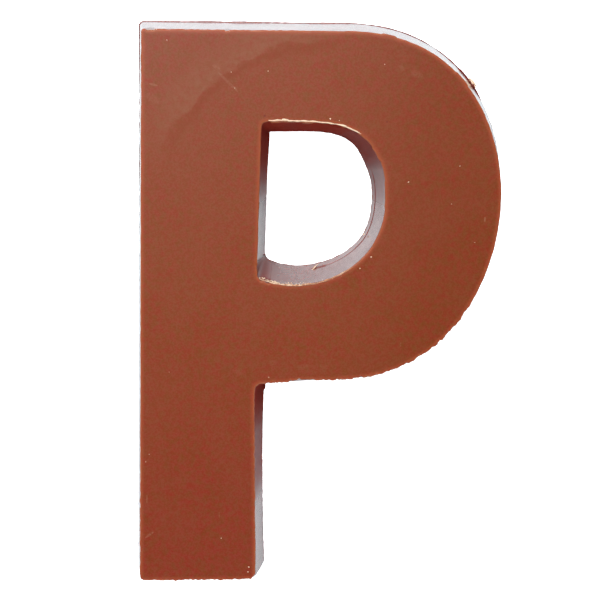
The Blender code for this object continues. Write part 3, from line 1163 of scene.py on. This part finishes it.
def wall_finish():
    """The walls, polished where the mould was, with faint marks where the letter slid out of it."""
    made, tree, shader = new_finish("polished_walls")
    point = letter_coordinates(tree)
    clouds = place_group(tree, CLOUDINESS, Point=point, Size=WALL_FINENESS)
    polished = attribute(tree, "polish")
    ruddy = fading(tree, distance(tree, point, RUDDY_PLACE), RUDDY_CORE, RUDDY_REACH)
    # Dull places take a deeper red base, partly painted shade.
    colour = mixed(tree, polished, WALL_DULL_AND_SHADED, WALL_POLISHED)
    # The ruddy place's colour is partly a painted mauve reflection.
    colour = mixed(tree, ruddy, colour, WALL_RUDDY_REFLECTION)
    colour = mixed(tree, eased(tree, clouds["Specks"], 0.0, WALL_SPECK_SHARE), colour, WALL_DARK)
    feed(tree, shader.inputs["Base Color"], colour)
    feed(tree, shader.inputs["Roughness"], eased(tree, polished, DULL_ROUGHNESS, POLISH_ROUGHNESS))
    feed(tree, shader.inputs["Specular IOR Level"], WALL_SPECULAR)
    drawn = noise_value(tree, stretched(tree, point, UPWARDS), DRAWN_SIZE, detail=3.0)
    scuffed = noise_value(tree, stretched(tree, point, ALONG_WALLS), SCUFF_SIZE, detail=4.0, roughness=0.65)
    worn = ranged(tree, drawn, *NARROW_NOISE, *DRAWN_WEAR)
    worn = times(tree, worn, ranged(tree, scuffed, *SCUFF_NOISE, *SCUFF_WEAR))
    worn = times(tree, worn, eased(tree, ruddy, 1.0, RUDDY_POLISH))
    feed(tree, shader.inputs["Coat Weight"], times(tree, polished, worn))
    feed(tree, shader.inputs["Coat Roughness"], POLISH_ROUGHNESS)
    feed(tree, shader.inputs["Coat IOR"], POLISH_IOR)
    bumped(tree, shader, drawn, WALL_RELIEF)
    let_light_soak(shader)
    return made


def crumb_finish():
    """Pale chocolate dust and burrs, from cream through brown to dark."""
    made, tree, shader = new_finish("pale_crumbs")
    clouds = place_group(tree, CLOUDINESS, Point=letter_coordinates(tree), Size=CRUMB_FINENESS)
    brown = plus(tree, attribute(tree, "browned"), eased(tree, clouds["Specks"], *CRUMB_SPECKS))
    colour = mixed(tree, ranged(tree, brown, 0.0, 1.0), CRUMB_CREAM, CRUMB_BROWN)
    colour = mixed(tree, ranged(tree, brown, *DARK_BROWNS), colour, CRUMB_DARK)
    feed(tree, shader.inputs["Base Color"], colour)
    feed(tree, shader.inputs["Roughness"], CRUMB_ROUGHNESS)
    bumped(tree, shader, clouds["Grain"], CRUMB_RELIEF)
    return made


# The letter and its crumbs
SHARP_ANGLE = 50
letter = piece_from(letter_mesh(), "letter_casting", [face_finish(), wall_finish()], SHARP_ANGLE)
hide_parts("letter")
piece_from(crumbs_mesh(), "crumbs", [crumb_finish()])

# Floor, light and camera
FLOOR_SIZE = 3.0
FLOOR_GAP = 0.00005
FLOOR_COLOUR = (0.87, 0.94, 0.95, 1.0)
GLOW_COLOUR = (0.92, 0.92, 0.92, 1.0)
FLOOR_ROUGHNESS = 0.8
FLOOR_GLOW = 1.5
SKY_COLOUR = (0.85, 0.93, 1.0, 1.0)
SKY_STRENGTH = 0.17
SKY_SEEN = (0.95, 0.95, 0.95, 1.0)
# Soft lights: (name, place, size, power). The one below is for the back alone.
LIGHTS = (
    ("window", (-0.12, 0.42, 0.55), 0.55, 5.6),
    ("lamp", (-0.22, 0.22, 0.85), 0.25, 1.5),
    ("fill", (0.06, -0.6, 0.3), 0.4, 1.6),
    ("under", (0.0, 0.0, -0.5), 0.1, 2.0),
)
LIGHT_COLOUR = (0.97, 0.98, 1.0)
LENS = 81.0
SENSOR = 36.0
NEAREST_SEEN = 0.01
CAMERA_PLACE = (24.911, 114.135, 320.95)
CAMERA_TURN = (-8.8003, -1.9705, 1.158)


def floor_finish():
    """A pale floor, seen a little brighter than it lights the letter, and clear from below."""
    finish = bpy.data.materials.new("plain_floor")
    finish.use_nodes = True
    tree = finish.node_tree
    shader = tree.nodes["Principled BSDF"]
    feed(tree, shader.inputs["Base Color"], FLOOR_COLOUR)
    feed(tree, shader.inputs["Roughness"], FLOOR_ROUGHNESS)
    feed(tree, shader.inputs["Emission Color"], GLOW_COLOUR)
    path = add_node(tree, "ShaderNodeLightPath").outputs
    feed(tree, shader.inputs["Emission Strength"], eased(tree, path["Is Camera Ray"], 0.0, FLOOR_GLOW))
    cover = add_node(tree, "ShaderNodeMixShader")
    from_below = add_node(tree, "ShaderNodeNewGeometry").outputs["Backfacing"]
    feed(tree, cover.inputs[0], sums(tree, "MAXIMUM", from_below, path["Is Shadow Ray"]))
    feed(tree, cover.inputs[1], shader.outputs[0])
    feed(tree, cover.inputs[2], add_node(tree, "ShaderNodeBsdfTransparent").outputs[0])
    feed(tree, tree.nodes["Material Output"].inputs["Surface"], cover.outputs[0])
    return finish


def make_floor():
    mesh = bmesh.new()
    bmesh.ops.create_grid(mesh, x_segments=1, y_segments=1, size=FLOOR_SIZE / 2)
    data = bpy.data.meshes.new("floor")
    mesh.to_mesh(data)
    mesh.free()
    data.materials.append(floor_finish())
    made = bpy.data.objects.new("floor", data)
    made.location.z = -FLOOR_GAP
    bpy.context.scene.collection.objects.link(made)


def soft_light(name, place, size, power):
    """A square soft light that points at the letter and isn't seen itself."""
    data = bpy.data.lights.new(name, "AREA")
    data.size = size
    data.energy = power
    data.color = LIGHT_COLOUR
    made = bpy.data.objects.new(name, data)
    made.location = place
    made.rotation_euler = Vector(place).to_track_quat("Z", "Y").to_euler()
    made.visible_camera = False
    # The polished walls mirror the lights above, but not the one below.
    made.visible_glossy = made.location.z > 0
    bpy.context.scene.collection.objects.link(made)


def make_camera():
    data = bpy.data.cameras.new("camera")
    data.lens = LENS
    data.sensor_width = SENSOR
    data.clip_start = NEAREST_SEEN
    made = bpy.data.objects.new("camera", data)
    made.location = letter_to_frame() @ Vector(CAMERA_PLACE)
    made.rotation_euler = Euler([math.radians(turn) for turn in CAMERA_TURN])
    bpy.context.scene.collection.objects.link(made)
    bpy.context.scene.camera = made


def make_sky():
    """A plain pale sky, which lights the letter from above only."""
    sky = bpy.data.worlds.new("sky")
    sky.use_nodes = True
    tree = sky.node_tree
    background = tree.nodes["Background"]
    seen = add_node(tree, "ShaderNodeLightPath").outputs["Is Camera Ray"]
    feed(tree, background.inputs["Color"], mixed(tree, seen, SKY_COLOUR, SKY_SEEN))
    way = add_node(tree, "ShaderNodeSeparateXYZ")
    feed(tree, way.inputs[0], add_node(tree, "ShaderNodeTexCoord").outputs["Generated"])
    from_above = times(tree, sums(tree, "GREATER_THAN", way.outputs["Z"]), SKY_STRENGTH)
    feed(tree, background.inputs["Strength"], eased(tree, seen, from_above, 1.0))
    bpy.context.scene.world = sky


make_floor()
make_sky()
for light in LIGHTS:
    soft_light(*light)
make_camera()
bpy.context.scene.view_settings.view_transform = "Standard"
